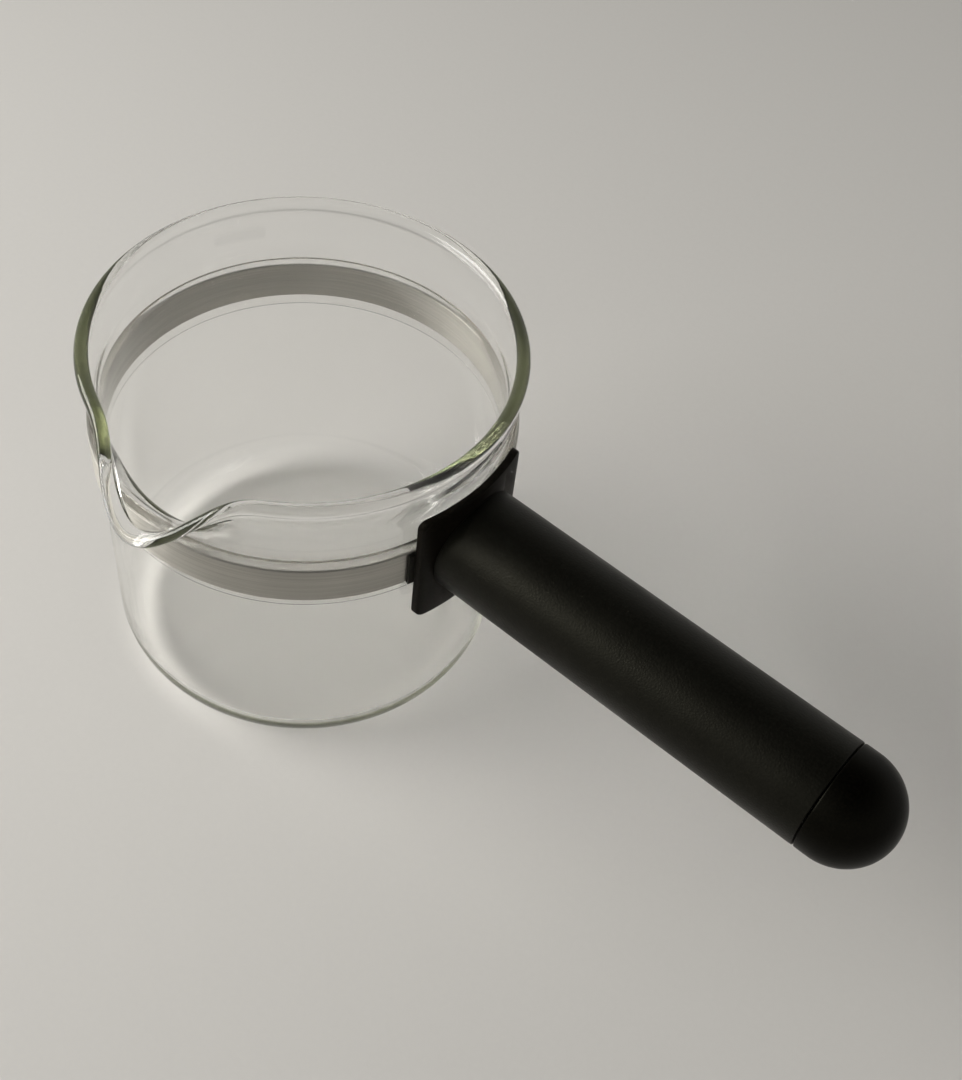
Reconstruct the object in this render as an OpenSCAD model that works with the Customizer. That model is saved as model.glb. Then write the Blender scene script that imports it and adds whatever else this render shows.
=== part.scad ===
// Small glass coffee server with a steel clamp band and a straight black side handle.
// The origin is the middle of the base on the table, +Z is up and the handle runs along +X.

/* [Glass] */
// Outer diameter of the glass
glass_d = 89.6; // [80:0.2:110]
// Height of the glass from the table to the top of its rim
glass_h = 85.5; // [80:0.5:120]
// Thickness of the glass wall
wall_t = 1.8; // [1.4:0.1:2.8]
// Thickness of the glass floor
floor_t = 2.6; // [2:0.1:4]
// Outer radius of the corner between the wall and the base
corner_r = 9.2; // [6:0.1:14]
// How much thicker the rolled rim is than the wall
bead_extra = 1.2; // [0.3:0.1:1.6]
// How far the rim leans outward
rim_flare = 1.2; // [0.4:0.1:2]

/* [Pouring lip] */
// How far the lip reaches out past the rim
lip_reach = 8.7; // [5:0.1:11]
// How far the lip dips under the rim
lip_drop = 11.3; // [7:0.1:12.5]
// Angle from the lip's middle to where the rim runs round again
lip_half_angle = 32; // [28:1:36]
// Turn of the lip round the glass, counted from the handle
lip_turn = -84; // [-130:1:-50]

/* [Clamp band] */
// Height of the grip's axis under the rim
axis_below_rim = 23.7; // [23:0.1:28]
// Width of the steel band
band_w = 9; // [8:0.5:11]
// Thickness of the steel band
band_t = 0.6; // [0.4:0.1:0.8]
// Room between the clear sleeve under the band and the glass
sleeve_gap = 0.15; // [0.1:0.05:0.3]
// Thickness of the clear sleeve
sleeve_t = 0.5; // [0.3:0.05:0.8]
// How far the clear sleeve stands out past each edge of the band
sleeve_over = 2.4; // [1:0.1:2.8]
// Thickness of the liner under the saddle
liner_t = 0.85; // [0.6:0.05:1.5]
// Angle from the liner's middle to its ends
liner_half_angle = 19.5; // [19:0.5:24]

/* [Saddle] */
// Width of the saddle plate
saddle_w = 29.5; // [26:0.5:30]
// Height of the saddle plate
saddle_h = 30; // [26:0.5:34]
// Thickness of the saddle plate
saddle_t = 1.7; // [1.4:0.1:3]
// Radius of the saddle plate's corners
saddle_corner_r = 2; // [1:0.5:5]

/* [Grip] */
// Diameter of the grip and the end cap
grip_d = 23.4; // [22:0.2:26]
// Length of the grip from the saddle to the seam of the end cap
grip_l = 86.2; // [60:0.2:120]
// Wall thickness of the grip
grip_wall = 3; // [2.4:0.1:3.6]

/* [End cap] */
// Straight part of the end cap before its dome
cap_straight = 3; // [1:0.5:8]
// Width of the seam between the grip and the end cap
seam_w = 0.3; // [0.3:0.05:0.6]

/* [Tie rod] */
// Diameter of the tie rod
rod_d = 4.8; // [4:0.1:5.4]
// Travel of the thread in one turn
thread_pitch = 0.8; // [0.5:0.05:1]
// Turns of the end cap before it comes off the thread
cap_turns = 6; // [3:1:7]

/* [Hidden] */
$fn = 96;

// Overrun of a cut past the face that it leaves
cut = 1;
// Clearance of pieces that stand still on each other
seat_fit = 0.05;
// Clearance of pieces that move past each other
move_fit = 0.3;
// Radial clearance of the rod in the thread of the insert
thread_fit = 0.05;

// Glass
glass_r = glass_d / 2;
inner_r = glass_r - wall_t;
mid_r = glass_r - wall_t / 2;
bead_r = (wall_t + bead_extra) / 2;
bead_z = glass_h - bead_r;

// Sleeve, band, liner and saddle
axis_z = glass_h - axis_below_rim;
sleeve_in_r = glass_r + sleeve_gap;
sleeve_out_r = sleeve_in_r + sleeve_t;
sleeve_w = band_w + 2 * sleeve_over;
band_in_r = sleeve_out_r + seat_fit;
band_out_r = band_in_r + band_t;
liner_in_r = band_out_r + seat_fit;
liner_out_r = liner_in_r + liner_t;
saddle_in_r = liner_out_r + seat_fit;
saddle_out_r = saddle_in_r + saddle_t;
ear_h = band_w * 2 / 3;

// Upper wall of the glass, from the lip's root over the sleeve to the rim
lip_root_room = 0.1;
lip_root_z = axis_z + sleeve_w / 2 + lip_root_room;
rim_rise = bead_z - lip_root_z;
lip_rise = rim_rise - lip_drop;
lip_out = lip_reach + rim_flare;
lip_bend = 88;
lip_round = 3.6;
flare_start_share = 0.25;
flare_end_share = 0.8;
wall_top_share = 0.9;
wall_steps = 9;
bead_steps = 12;
lip_steps = 32;
tangent_step = 0.005;
lip_inset = 0.06;
lip_step = 2 * lip_half_angle / lip_steps;
wall_step_share = wall_top_share / wall_steps;

// Grip and end cap, by their distance from the glass's axis
grip_r = grip_d / 2;
bore_r = grip_r - grip_wall;
seam_x = saddle_out_r + grip_l;
cap_x = seam_x + seam_w;
edge_bevel = 0.3;
bulkhead_t = 4;
rod_r = rod_d / 2;

// Insert and washer in the end cap
thread_r = rod_r + thread_fit;
nose_wall = 0.9;
nose_r = thread_r + nose_wall;
lip_over = 0.7;
nose_lip_r = nose_r + lip_over;
nose_lip_t = 0.6;
washer_in_r = nose_r + move_fit;
washer_out_r = nose_lip_r + 3 * lip_over;
washer_t = 1.2;
washer_x = cap_x - move_fit - washer_t;
washer_seat_x = washer_x - move_fit;
nose_x = washer_x - move_fit - nose_lip_t;
barrel_r = nose_lip_r + lip_over;
barrel_l = cap_turns * thread_pitch + 2 * nose_wall;
thread_l = cap_turns * thread_pitch;
rod_end_x = nose_x + thread_l;

// Ears of the band, eye of the rod and the pin through them
eye_t = 3;
ear_y = eye_t / 2 + seat_fit;
ear_out_y = ear_y + band_t;
pin_r = 1.5;
eye_r = ear_h / 2 + band_t;
spigot_l = 4.5;
spigot_r = bore_r - 4 * seat_fit;
spigot_x = saddle_out_r + spigot_l;
pin_x = spigot_x + eye_r + band_t;
ear_end_x = pin_x + eye_r;
pin_l = 2 * ear_out_y + 2 * band_t;
slot_w = 2 * ear_out_y + 4 * seat_fit;
slot_h = ear_h + 4 * seat_fit;

// Colours
glass_colour = [0.86, 0.91, 0.88, 0.35];
clear_colour = [0.92, 0.92, 0.90, 0.3];
steel_colour = [0.62, 0.61, 0.58];
black_colour = [0.07, 0.07, 0.07];
brass_colour = [0.72, 0.58, 0.30];

// A piece turned about the grip's axis: its profile is [distance from the axis, distance along the grip]
module along_grip() {
    translate([0, 0, axis_z])
        rotate([0, 90, 0])
            rotate_extrude()
                children();
}

// A round bar across the grip, centred on the grip's middle plane
module across_grip(x, r, l) {
    translate([x, 0, axis_z])
        rotate([90, 0, 0])
            cylinder(r = r, h = l, center = true);
}

// A box from x0 to x1, centred on the grip's axis
module box_on_axis(x0, x1, w, h) {
    translate([x0, -w / 2, axis_z - h / 2])
        cube([x1 - x0, w, h]);
}

// A wall round the glass's axis between two radii, centred on the grip's height
module round_wall(r_in, r_out, h) {
    translate([0, 0, axis_z])
        difference() {
            cylinder(r = r_out, h = h, center = true);
            cylinder(r = r_in, h = h + 2 * cut, center = true);
        }
}

// A rectangle with round corners, centred on its middle
module round_plate(w, h, r) {
    square([w - 2 * r, h], center = true);
    square([w, h - 2 * r], center = true);
    for (x = [-1, 1], y = [-1, 1])
        translate([x * (w / 2 - r), y * (h / 2 - r)])
            circle(r = r);
}

// Half section of a vessel's inside or outside, from z0 up, with a round bottom corner
module vessel_side(r, z0, z1, corner) {
    translate([0, z0])
        square([r - corner, z1 - z0]);
    translate([0, z0 + corner])
        square([r, z1 - z0 - corner]);
    translate([r - corner, z0 + corner])
        intersection() {
            circle(r = corner);
            translate([0, -corner])
                square(corner);
        }
}

// Middle line of the upper wall as [radius, height]: s is 0 at the lip's root and 1 in the rim's bead,
// and w is 0 where the rim runs round and 1 in the middle of the lip
function mix(a, b, w) = a + (b - a) * w;
function flare_share(s) = max(0, min(1, (s - flare_start_share) / (flare_end_share - flare_start_share)));
function flare(s) = pow(flare_share(s), 2) * (3 - 2 * flare_share(s));
function rim_line(s) = [mid_r + rim_flare * flare(s), lip_root_z + rim_rise * s];
function lip_line(s) = [mid_r + lip_out * (1 - cos(lip_bend * s)) / (1 - cos(lip_bend)),
                        lip_root_z + lip_rise * sin(lip_bend * s) / sin(lip_bend)];
function wall_line(s, w) = mix(rim_line(s), lip_line(s), w);
function unit(v) = v / norm(v);
function along(s, w) = unit(wall_line(s, w) - wall_line(s - tangent_step, w));
function outward(s, w) = [along(s, w)[1], -along(s, w)[0]];
function wall_face(s, w, off) = s <= 0
    ? [mid_r + off, lip_root_z + rim_rise * s]
    : wall_line(s, w) + off * outward(s, w);
function bead_point(a, w, r) = wall_line(1, w) + r * (cos(a) * along(1, w) + sin(a) * outward(1, w));

// Closed outline of the upper wall with its bead, up the outside and down the inside,
// drawn in by an inset on every side
function wall_outline(w, inset) =
    let (half = wall_t / 2 - inset,
         r = bead_r - inset,
         turn = 180 - asin(half / r),
         shares = [for (i = [-1 : wall_steps]) wall_step_share * i],
         top = len(shares) - 1)
    concat(
        [for (s = shares) wall_face(s, w, half)],
        [for (i = [0 : bead_steps]) bead_point(turn * (1 - 2 * i / bead_steps), w, r)],
        [for (i = [top : -1 : 0]) wall_face(shares[i], w, -half)]);

// Share of the lip's full shape at an angle from its middle
function lip_share(a) = abs(a) < lip_half_angle ? pow(cos(90 * a / lip_half_angle), lip_round) : 0;
function turned(p, a) = [p[0] * cos(a), p[0] * sin(a), p[1]];

// The stretch of the wall that is drawn out into the pouring lip, let into the wall beside and under it
module lip_wall() {
    angles = [for (i = [-1 : lip_steps + 1]) lip_step * i - lip_half_angle];
    rings = [for (a = angles) [for (p = wall_outline(lip_share(a), lip_inset)) turned(p, a)]];
    n = len(rings[0]);
    spans = len(rings) - 1;
    points = [for (ring = rings) for (p = ring) p];
    sides = [for (i = [0 : spans - 1], j = [0 : n - 1], half = [0, 1])
        let (a = i * n + j, b = i * n + (j + 1) % n)
            half == 0 ? [a, b, b + n] : [a, b + n, a + n]];
    strips = (n - 1) / 2;
    first_end = [for (j = [0 : strips - 1], half = [0, 1]) if (j < strips - 1 || half == 0)
        half == 0 ? [j, n - 1 - j, j + 1] : [j + 1, n - 1 - j, n - 2 - j]];
    last_end = [for (f = first_end) [f[2], f[1], f[0]] + spans * n * [1, 1, 1]];
    polyhedron(points, concat(sides, first_end, last_end));
}

// A wedge over the lip's root, half a step wider and deeper than the lip
module lip_wedge() {
    far = 2 * glass_d;
    spread = far * tan(lip_half_angle + lip_step / 2);
    translate([0, 0, lip_root_z - rim_rise * wall_step_share / 2])
        linear_extrude(glass_h)
            polygon([[0, 0], [far, -spread], [far, spread]]);
}

// The glass vessel: its floor, wall and rim are turned, and the pouring lip is drawn out of the rim
module glass_beaker() {
    color(glass_colour) {
        difference() {
            rotate_extrude()
                union() {
                    difference() {
                        vessel_side(glass_r, 0, lip_root_z, corner_r);
                        vessel_side(inner_r, floor_t, lip_root_z + corner_r, corner_r - wall_t);
                    }
                    polygon(wall_outline(0, 0));
                }
            rotate([0, 0, lip_turn])
                lip_wedge();
        }
        rotate([0, 0, lip_turn])
            lip_wall();
    }
}

// The clear sleeve that keeps the band off the glass, open at the ears
module clear_sleeve() {
    color(clear_colour)
        difference() {
            round_wall(sleeve_in_r, sleeve_out_r, sleeve_w);
            box_on_axis(0, glass_d, slot_w, sleeve_w + 2 * cut);
        }
}

// The steel band with its two ears, drilled for the pin
module clamp_band() {
    color(steel_colour)
        difference() {
            union() {
                difference() {
                    round_wall(band_in_r, band_out_r, band_w);
                    box_on_axis(0, glass_d, 2 * ear_y, band_w + 2 * cut);
                }
                for (side = [-1, 1])
                    translate([0, side * (ear_y + band_t / 2), 0])
                        box_on_axis(band_in_r, ear_end_x, band_t, ear_h);
            }
            across_grip(pin_x, pin_r + seat_fit, pin_l + 2 * cut);
        }
}

// The black strip between the band and the saddle, slotted for the ears
module band_liner() {
    color(black_colour)
        difference() {
            rotate([0, 0, -liner_half_angle])
                translate([0, 0, axis_z - band_w / 2])
                    rotate_extrude(angle = 2 * liner_half_angle)
                        translate([liner_in_r, 0])
                            square([liner_t, band_w]);
            box_on_axis(0, ear_end_x, slot_w, slot_h);
        }
}

// The saddle plate with the spigot that centres the grip, slotted for the ears
module saddle() {
    color(black_colour)
        difference() {
            union() {
                intersection() {
                    round_wall(saddle_in_r, saddle_out_r, saddle_h + 2 * cut);
                    translate([0, 0, axis_z])
                        rotate([90, 0, 90])
                            linear_extrude(glass_d)
                                round_plate(saddle_w, saddle_h, saddle_corner_r);
                }
                difference() {
                    along_grip()
                        translate([0, glass_r])
                            square([spigot_r, spigot_x - glass_r]);
                    round_wall(0, saddle_in_r + saddle_t / 2, 2 * grip_d);
                }
            }
            box_on_axis(glass_r, spigot_x + cut, slot_w, slot_h);
        }
}

// The grip: a tube with a closed end that carries the washer's seat
module grip() {
    color(black_colour)
        difference() {
            along_grip()
                difference() {
                    translate([0, glass_r])
                        polygon([[0, 0], [grip_r, 0], [grip_r, seam_x - glass_r - edge_bevel],
                                 [grip_r - edge_bevel, seam_x - glass_r], [0, seam_x - glass_r]]);
                    translate([0, glass_r - cut])
                        square([bore_r, washer_seat_x - bulkhead_t - glass_r + cut]);
                    translate([0, glass_r])
                        square([nose_lip_r + move_fit, seam_x]);
                    translate([0, washer_seat_x])
                        square([washer_out_r + move_fit, grip_l]);
                }
            round_wall(0, saddle_out_r + seat_fit, 2 * grip_d);
        }
}

// The tie rod with a flat eye at the band's ears
module tie_rod() {
    color(steel_colour)
        difference() {
            union() {
                along_grip()
                    translate([0, ear_end_x + band_t])
                        square([rod_r, rod_end_x - ear_end_x - band_t]);
                box_on_axis(pin_x, ear_end_x + 2 * rod_r, eye_t, ear_h);
                across_grip(pin_x, eye_r, eye_t);
            }
            across_grip(pin_x, pin_r + seat_fit, eye_t + 2 * cut);
        }
}

// The pin through the ears and the eye
module ear_pin() {
    color(steel_colour)
        across_grip(pin_x, pin_r, pin_l);
}

// The threaded insert of the end cap, with a nose that carries the washer
module cap_insert() {
    color(brass_colour)
        along_grip()
            difference() {
                union() {
                    translate([0, nose_x])
                        square([nose_lip_r, nose_lip_t]);
                    translate([0, nose_x])
                        square([nose_r, cap_x + barrel_l - nose_x]);
                    translate([0, cap_x])
                        square([barrel_r, barrel_l]);
                }
                translate([0, nose_x - cut])
                    square([thread_r, thread_l + nose_wall + cut]);
            }
}

// The washer between the end cap and the grip
module cap_washer() {
    color(steel_colour)
        along_grip()
            translate([washer_in_r, washer_x])
                square([washer_out_r - washer_in_r, washer_t]);
}

// The domed end cap
module end_cap() {
    color(black_colour)
        along_grip()
            difference() {
                union() {
                    translate([0, cap_x])
                        polygon([[0, 0], [grip_r - edge_bevel, 0], [grip_r, edge_bevel],
                                 [grip_r, cap_straight], [0, cap_straight]]);
                    translate([0, cap_x + cap_straight])
                        intersection() {
                            circle(r = grip_r);
                            square(grip_r);
                        }
                }
                translate([0, cap_x - cut])
                    square([barrel_r + seat_fit, barrel_l + seat_fit + cut]);
            }
}

glass_beaker();
clear_sleeve();
clamp_band();
band_liner();
saddle();
grip();
tie_rod();
ear_pin();
cap_insert();
cap_washer();
end_cap();
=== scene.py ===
"""Coffee server: a glass beaker with a drawn pouring lip, held by a steel band on a straight black handle.

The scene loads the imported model, models the visible pieces over it in the same frame, dresses them,
and sets the floor, the light and the camera. Lengths are in metres, the glass stands on the origin
and the handle runs along +X.
"""

from __future__ import annotations

import logging
import math
from collections.abc import Callable, Sequence
from dataclasses import dataclass
from enum import Enum
from typing import ClassVar

import bmesh
import bpy
import numpy as np
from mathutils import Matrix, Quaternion, Vector


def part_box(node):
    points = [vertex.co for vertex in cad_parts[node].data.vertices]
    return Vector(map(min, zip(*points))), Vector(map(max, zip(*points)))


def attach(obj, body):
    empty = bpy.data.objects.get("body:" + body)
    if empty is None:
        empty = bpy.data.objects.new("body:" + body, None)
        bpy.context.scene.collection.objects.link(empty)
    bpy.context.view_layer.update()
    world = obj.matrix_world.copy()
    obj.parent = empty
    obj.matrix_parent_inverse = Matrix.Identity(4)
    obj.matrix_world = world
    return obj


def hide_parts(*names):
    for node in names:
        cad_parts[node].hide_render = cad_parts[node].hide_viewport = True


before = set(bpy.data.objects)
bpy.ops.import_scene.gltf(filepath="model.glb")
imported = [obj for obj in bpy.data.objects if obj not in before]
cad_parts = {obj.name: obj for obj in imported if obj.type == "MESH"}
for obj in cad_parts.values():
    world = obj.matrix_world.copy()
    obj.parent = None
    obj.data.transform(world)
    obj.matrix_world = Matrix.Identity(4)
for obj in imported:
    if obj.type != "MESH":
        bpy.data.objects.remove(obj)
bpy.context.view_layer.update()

LOG = logging.getLogger("coffee_server")
MM = 0.001
FULL_TURN = math.tau
MERGE = 2e-6
EDGE_STEPS = 4
STRIP_CREASE = 40.0
EAR_SLOT_WIDTH = 4.5 * MM
EAR_SLOT_HEIGHT = 6.2 * MM
UPRIGHT = Vector((0, 0, 1))
ALONG_GRIP = Vector((1, 0, 0))
Point = tuple[float, float]
Triple = tuple[float, float, float]
Colour = Triple


class Body(Enum):
    """Moving bodies of the coffee server."""

    VESSEL = "vessel"
    HANDLE = "handle"
    CAP = "cap"


# Modelling steps


class Bench:
    """Modelling steps that the pieces share."""

    @staticmethod
    def loop(name: str, points: Sequence[Vector]) -> bpy.types.Object:
        """Add a ring of edges as a new object and draw it along points.

        Args:
            name: Name of the new piece.
            points: Corners of the ring, in order.

        Returns:
            The new object, which is the active one.
        """
        bpy.ops.object.select_all(action="DESELECT")
        bpy.ops.mesh.primitive_circle_add(vertices=len(points), radius=1.0)
        piece = bpy.context.object
        piece.name = piece.data.name = name
        for vertex, point in zip(piece.data.vertices, points):
            vertex.co = point
        return piece

    @staticmethod
    def single_out(piece: bpy.types.Object) -> None:
        """Select a piece by itself and make it the active one.

        Args:
            piece: Piece in object mode.
        """
        bpy.ops.object.select_all(action="DESELECT")
        piece.select_set(True)
        bpy.context.view_layer.objects.active = piece

    @staticmethod
    def edit(piece: bpy.types.Object) -> None:
        """Open a piece in edit mode, by itself, with nothing of it selected.

        Args:
            piece: Piece in object mode.
        """
        Bench.single_out(piece)
        bpy.ops.object.mode_set(mode="EDIT")
        bpy.ops.mesh.select_all(action="DESELECT")

    @staticmethod
    def pick(piece: bpy.types.Object, test: Callable[[Vector], bool]) -> None:
        """Select the vertices of the opened piece whose place passes a test, with the edges between them.

        Args:
            piece: Piece that is open in edit mode.
            test: Takes a vertex's place and says whether it is selected.
        """
        bpy.ops.mesh.select_all(action="DESELECT")
        bpy.ops.mesh.select_mode(type="VERT")
        mesh = bmesh.from_edit_mesh(piece.data)
        for vertex in mesh.verts:
            vertex.select_set(test(vertex.co))
        mesh.select_flush(True)
        bmesh.update_edit_mesh(piece.data)

    @staticmethod
    def settle(piece: bpy.types.Object, crease: float = 35.0) -> bpy.types.Object:
        """Close the opened piece, point its faces outward and shade it smooth up to an angle.

        Args:
            piece: Piece that is open in edit mode.
            crease: Angle in degrees from which an edge stays sharp.

        Returns:
            The same piece, in object mode.
        """
        bpy.ops.mesh.select_all(action="SELECT")
        bpy.ops.mesh.remove_doubles(threshold=MERGE)
        bpy.ops.mesh.delete_loose(use_verts=True, use_edges=True, use_faces=False)
        bpy.ops.mesh.select_all(action="SELECT")
        bpy.ops.mesh.normals_make_consistent(inside=False)
        bpy.ops.object.mode_set(mode="OBJECT")
        bpy.ops.object.shade_smooth_by_angle(angle=math.radians(crease))
        return piece

    @staticmethod
    def move(piece: bpy.types.Object, rule: Callable[[np.ndarray], np.ndarray]) -> None:
        """Move all points of a piece by a rule.

        Args:
            piece: Piece in object mode.
            rule: Takes the points as rows of an array and returns their new places.
        """
        points = np.empty(len(piece.data.vertices) * 3)
        piece.data.vertices.foreach_get("co", points)
        piece.data.vertices.foreach_set("co", rule(points.reshape(-1, 3)).ravel())
        piece.data.update()

    @staticmethod
    def combine(piece: bpy.types.Object, tool: bpy.types.Object, operation: str) -> None:
        """Join a tool to a piece or cut it away, and drop the tool.

        Args:
            piece: Piece that is kept.
            tool: Closed shape that is joined or cut away.
            operation: UNION or DIFFERENCE.
        """
        Bench.single_out(piece)
        change = piece.modifiers.new(operation.lower(), "BOOLEAN")
        change.object, change.operation, change.solver = tool, operation, "EXACT"
        bpy.ops.object.modifier_apply(modifier=change.name)
        bpy.data.meshes.remove(tool.data)
        Bench.edit(piece)
        bpy.ops.mesh.select_all(action="SELECT")
        bpy.ops.mesh.remove_doubles(threshold=MERGE)
        bpy.ops.mesh.dissolve_degenerate(threshold=MERGE)
        bpy.ops.object.mode_set(mode="OBJECT")

    @staticmethod
    def cut_box(piece: bpy.types.Object, place: Sequence[float], size: Sequence[float]) -> None:
        """Cut a box out of a piece.

        Args:
            piece: Piece that is cut.
            place: Middle of the box.
            size: Its three sides.
        """
        bpy.ops.object.select_all(action="DESELECT")
        bpy.ops.mesh.primitive_cube_add(size=1, location=place)
        box = bpy.context.object
        box.scale = size
        Bench.combine(piece, box, "DIFFERENCE")


@dataclass(frozen=True)
class Lathe:
    """A line that outlines are turned about.

    Attributes:
        centre: Point of the line from which distances along it count.
        along: Direction of the line.
        across: Direction in which an outline's radius is drawn.
    """

    centre: Vector
    along: Vector
    across: Vector

    def place(self, point: Point) -> Vector:
        """Return the place of an outline's point, given as radius and distance along the line."""
        return self.centre + self.across * point[0] + self.along * point[1]

    def turn(self, name: str, outline: Sequence[Point], steps: int) -> bpy.types.Object:
        """Turn a closed outline into a round piece: one eighth is spun, then doubled three times.

        Args:
            name: Name of the new piece.
            outline: Corners as radius and distance along the line.
            steps: Steps of the full turn, a multiple of eight.

        Returns:
            The turned piece, in object mode.
        """
        piece = Bench.loop(name, [self.place(point) for point in outline])
        Bench.edit(piece)
        bpy.ops.mesh.select_all(action="SELECT")
        bpy.ops.mesh.spin(steps=steps // 8, angle=FULL_TURN / 8, center=self.centre, axis=self.along)
        axis = "XYZ"[max(range(3), key=lambda i: self.along[i])]
        for share in (8, 4, 2):
            bpy.ops.mesh.select_all(action="SELECT")
            bpy.ops.mesh.duplicate()
            bpy.ops.transform.rotate(value=FULL_TURN / share, orient_axis=axis, center_override=self.centre)
        return Bench.settle(piece)


def arc(centre: Point, radius: float, start: float, end: float, steps: int) -> list[Point]:
    """Return points of an arc.

    Args:
        centre: Middle of the arc as radius and distance along.
        radius: Radius of the arc.
        start: Angle of the first point in degrees, 0 pointing away from the lathe's line.
        end: Angle of the last point in degrees.
        steps: Number of steps between them.

    Returns:
        The points, both ends included.
    """
    turns = [math.radians(start + (end - start) * i / steps) for i in range(steps + 1)]
    return [(centre[0] + radius * math.cos(t), centre[1] + radius * math.sin(t)) for t in turns]


def strip(inside: float, outside: float, low: float, high: float, near: float) -> list[Point]:
    """Return the section of a strip with round edges.

    Args:
        inside: Radius of its inner face.
        outside: Radius of its outer face.
        low: Height of its lower edge.
        high: Height of its upper edge.
        near: Radius of its edges.

    Returns:
        The closed outline as radius and height.
    """
    corners = (
        (outside - near, high - near), (inside + near, high - near),
        (inside + near, low + near), (outside - near, low + near),
    )
    return [point for i, corner in enumerate(corners) for point in arc(corner, near, 90 * i, 90 * (i + 1), EDGE_STEPS)]


def sweep(name: str, section: Sequence[Point], start: float, turn: float, steps: int) -> bpy.types.Object:
    """Sweep a section round the upright axis, open at both ends and open in edit mode.

    Args:
        name: Name of the new piece.
        section: Closed outline as radius and height.
        start: Angle of the first end, in radians.
        turn: Angle of the sweep, in radians.
        steps: Steps of the sweep.

    Returns:
        The swept piece.
    """
    piece = Bench.loop(name, [Vector((r * math.cos(start), r * math.sin(start), z)) for r, z in section])
    Bench.edit(piece)
    bpy.ops.mesh.select_all(action="SELECT")
    bpy.ops.mesh.spin(steps=steps, angle=-turn, center=(0, 0, 0), axis=UPRIGHT)
    return piece


def close_ends(piece: bpy.types.Object, ends: Sequence[float]) -> None:
    """Close the open ends of a swept piece.

    Args:
        piece: Piece that is open in edit mode.
        ends: Angles of its ends round the upright axis, in radians.
    """
    for end in ends:
        Bench.pick(piece, lambda point, end=end: on_ray(point, end))
        bpy.ops.mesh.edge_face_add()


def on_ray(point: Vector, turn: float) -> bool:
    """Tell whether a point lies on the upright half plane at an angle round the axis, in radians."""
    across = Vector((-math.sin(turn), math.cos(turn), 0))
    return abs(point.dot(across)) < MERGE and point.x > 0


# Finishes


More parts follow.
